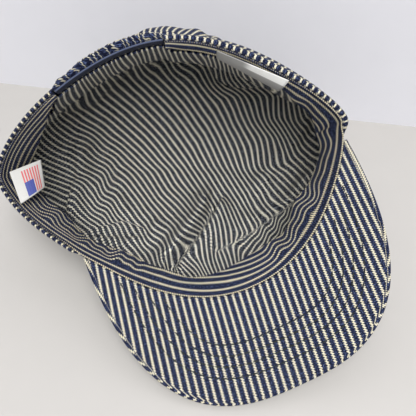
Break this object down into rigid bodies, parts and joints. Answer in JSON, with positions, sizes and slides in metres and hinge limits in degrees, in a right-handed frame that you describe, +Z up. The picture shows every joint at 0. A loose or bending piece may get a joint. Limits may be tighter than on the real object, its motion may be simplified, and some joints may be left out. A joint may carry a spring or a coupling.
{
  "type": "engineer cap",
  "caption": "Soft striped work cap lying on its front, with a rounded stiff peak, sweatband, pouched crown and gathered elastic back.",
  "frame": {"origin": "on the surface the cap lies on, below the middle of its outline", "axes": "+Z up from that surface, -Y toward the peak's leading edge, +X to the right seen from the peak's side, across the cap"},
  "size_m": [0.2224, 0.2392, 0.1441],
  "materials": {
    "crown_cloth": "wrong side of navy twill with fine undyed stripes",
    "band_cloth": "navy and cream striped denim",
    "sweatband_cloth": "navy and cream striped denim, stripes along the rim",
    "peak_cloth": "navy and cream striped denim over a stiff board, four rows of dark stitching",
    "gathered_cloth": "navy and cream striped denim, gathered",
    "elastic_tape": "ribbed navy tape",
    "flag_label": "smooth white woven tape with red stripes and a blue field",
    "rear_label": "smooth white woven tape, bare"
  },
  "bodies": {
    "root": {"crown": "crown_cloth", "outer_band": "band_cloth", "sweatband": "sweatband_cloth", "peak": "peak_cloth", "back_gather": "gathered_cloth", "elastic_tape": "elastic_tape", "flag_label": "flag_label", "rear_label": "rear_label"}
  },
  "joints": []
}
